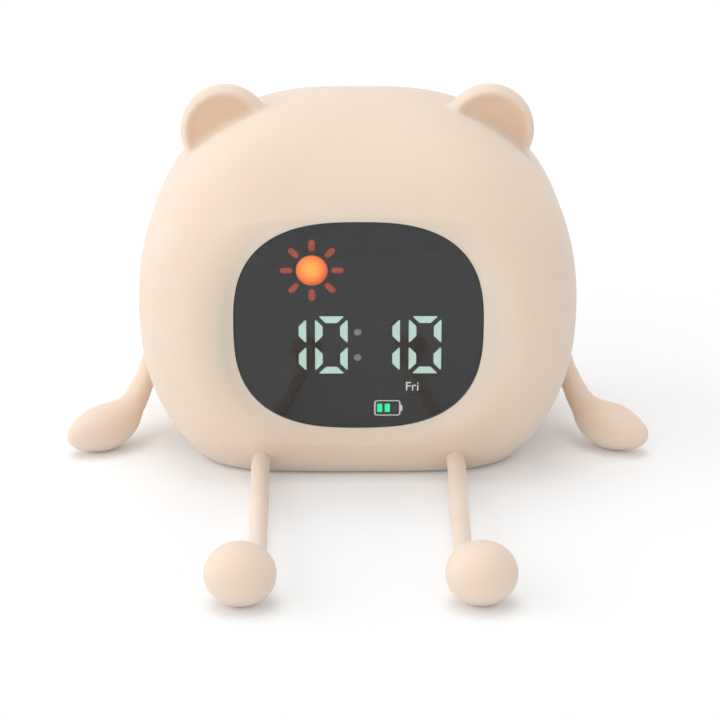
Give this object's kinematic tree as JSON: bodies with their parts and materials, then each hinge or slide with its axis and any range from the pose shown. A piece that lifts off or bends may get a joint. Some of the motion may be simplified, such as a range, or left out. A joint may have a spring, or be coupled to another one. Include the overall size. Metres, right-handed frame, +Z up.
{
  "type": "kids alarm clock with night light",
  "caption": "Soft rounded bedside clock with round ears, a smoked display window, floppy arms and legs and a night light under a silicone cover",
  "frame": {"origin": "middle of the rubber pad's underside, on the surface that the clock stands on", "axes": "+Z up, +Y to the clock's back, +X to the right as seen from the front"},
  "size_m": [0.152, 0.1624, 0.0947],
  "materials": {
    "silicone": "matt, soft touch",
    "window": "smoked, polished",
    "tape": "matt",
    "mask": "matt print",
    "lit_segment": "lit",
    "dark_segment": "unlit",
    "colon": "dimly lit",
    "sun_disc": "lit",
    "sun_rays": "dimly lit",
    "weekday": "lit",
    "battery_mark": "dimly lit",
    "battery_bar": "lit",
    "reflector": "matt",
    "circuit_board": "solder mask",
    "light_board": "white solder mask",
    "lamp": "moulded",
    "milky_shell": "milky, fine texture",
    "milky_cover": "milky",
    "panel": "fine texture",
    "button": "satin",
    "base": "fine texture",
    "pad": "matt",
    "screw": "zinc plated",
    "socket": "bright",
    "chip": "moulded",
    "switch": "moulded",
    "sensor": "bright can",
    "cell_wrap": "shrink wrap",
    "cradle": "moulded",
    "strap": "woven",
    "speaker_frame": "moulded",
    "speaker_cone": "film",
    "magnet": "plated",
    "foam": "foam"
  },
  "bodies": {
    "main": {"silicone_skin": "silicone", "front_shell": "milky_shell", "rear_shell": "milky_shell", "shell_screws": "screw", "base_plate": "base", "base_pad": "pad", "base_screws": "screw", "display_lens": "window", "window_tape": "tape", "graphic_mask": "mask", "digit_guides": "lit_segment", "spare_guides": "dark_segment", "colon_guides": "colon", "sun_disc_guide": "sun_disc", "sun_ray_guides": "sun_rays", "weekday_guide": "weekday", "battery_frame_guide": "battery_mark", "battery_bar_guides": "battery_bar", "battery_spare_guide": "dark_segment", "reflector_block": "reflector", "display_leds": "lamp", "display_board": "circuit_board", "display_screws": "screw", "light_board": "light_board", "light_leds": "lamp", "light_cover": "milky_cover", "light_screws": "screw", "rear_panel": "panel", "panel_screws": "screw", "main_board": "circuit_board", "board_screws": "screw", "main_chips": "chip", "tap_sensor": "sensor", "tact_switches": "switch", "usb_socket": "socket", "switch_body": "switch", "speaker_gasket": "foam", "speaker_frame": "speaker_frame", "speaker_cone": "speaker_cone", "speaker_magnet": "magnet", "battery_cell": "cell_wrap", "battery_cradle": "cradle", "battery_strap": "strap", "left_leg_root": "silicone", "left_arm_root": "silicone", "right_leg_root": "silicone", "right_arm_root": "silicone"},
    "button_alarm": {"button_alarm": "button"},
    "button_set": {"button_set": "button"},
    "button_minus": {"button_minus": "button"},
    "button_plus": {"button_plus": "button"},
    "button_light": {"button_light": "button"},
    "power_slider": {"power_slider": "button"},
    "left_leg": {"left_leg": "silicone"},
    "right_leg": {"right_leg": "silicone"},
    "left_arm": {"left_arm": "silicone"},
    "right_arm": {"right_arm": "silicone"}
  },
  "joints": [
    {"name": "alarm_press", "type": "slide", "parent": "main", "child": "button_alarm", "axis": [0, -1, 0], "range_m": [0, 0.0006], "stiffness_N_per_m": 500, "springref_m": -0.0004},
    {"name": "set_press", "type": "slide", "parent": "main", "child": "button_set", "axis": [0, -1, 0], "range_m": [0, 0.0006], "stiffness_N_per_m": 500, "springref_m": -0.0004},
    {"name": "minus_press", "type": "slide", "parent": "main", "child": "button_minus", "axis": [0, -1, 0], "range_m": [0, 0.0006], "stiffness_N_per_m": 500, "springref_m": -0.0004},
    {"name": "plus_press", "type": "slide", "parent": "main", "child": "button_plus", "axis": [0, -1, 0], "range_m": [0, 0.0006], "stiffness_N_per_m": 500, "springref_m": -0.0004},
    {"name": "light_press", "type": "slide", "parent": "main", "child": "button_light", "axis": [0, -1, 0], "range_m": [0, 0.0006], "stiffness_N_per_m": 500, "springref_m": -0.0004},
    {"name": "power_slide", "type": "slide", "parent": "main", "child": "power_slider", "axis": [1, 0, 0], "range_m": [0, 0.0015]},
    {"name": "left_hip", "type": "hinge", "parent": "main", "child": "left_leg", "pos_m": [-0.02481, -0.03919, 0.00392], "axis": [-1, 0, 0], "range_deg": [-85, 60]},
    {"name": "right_hip", "type": "hinge", "parent": "main", "child": "right_leg", "pos_m": [0.02481, -0.03919, 0.00392], "axis": [-1, 0, 0], "range_deg": [-85, 60]},
    {"name": "left_shoulder", "type": "hinge", "parent": "main", "child": "left_arm", "pos_m": [-0.05583, 0.002, 0.01681], "axis": [0, 1, 0], "range_deg": [0, 75]},
    {"name": "right_shoulder", "type": "hinge", "parent": "main", "child": "right_arm", "pos_m": [0.05583, 0.002, 0.01681], "axis": [0, -1, 0], "range_deg": [0, 75]}
  ]
}
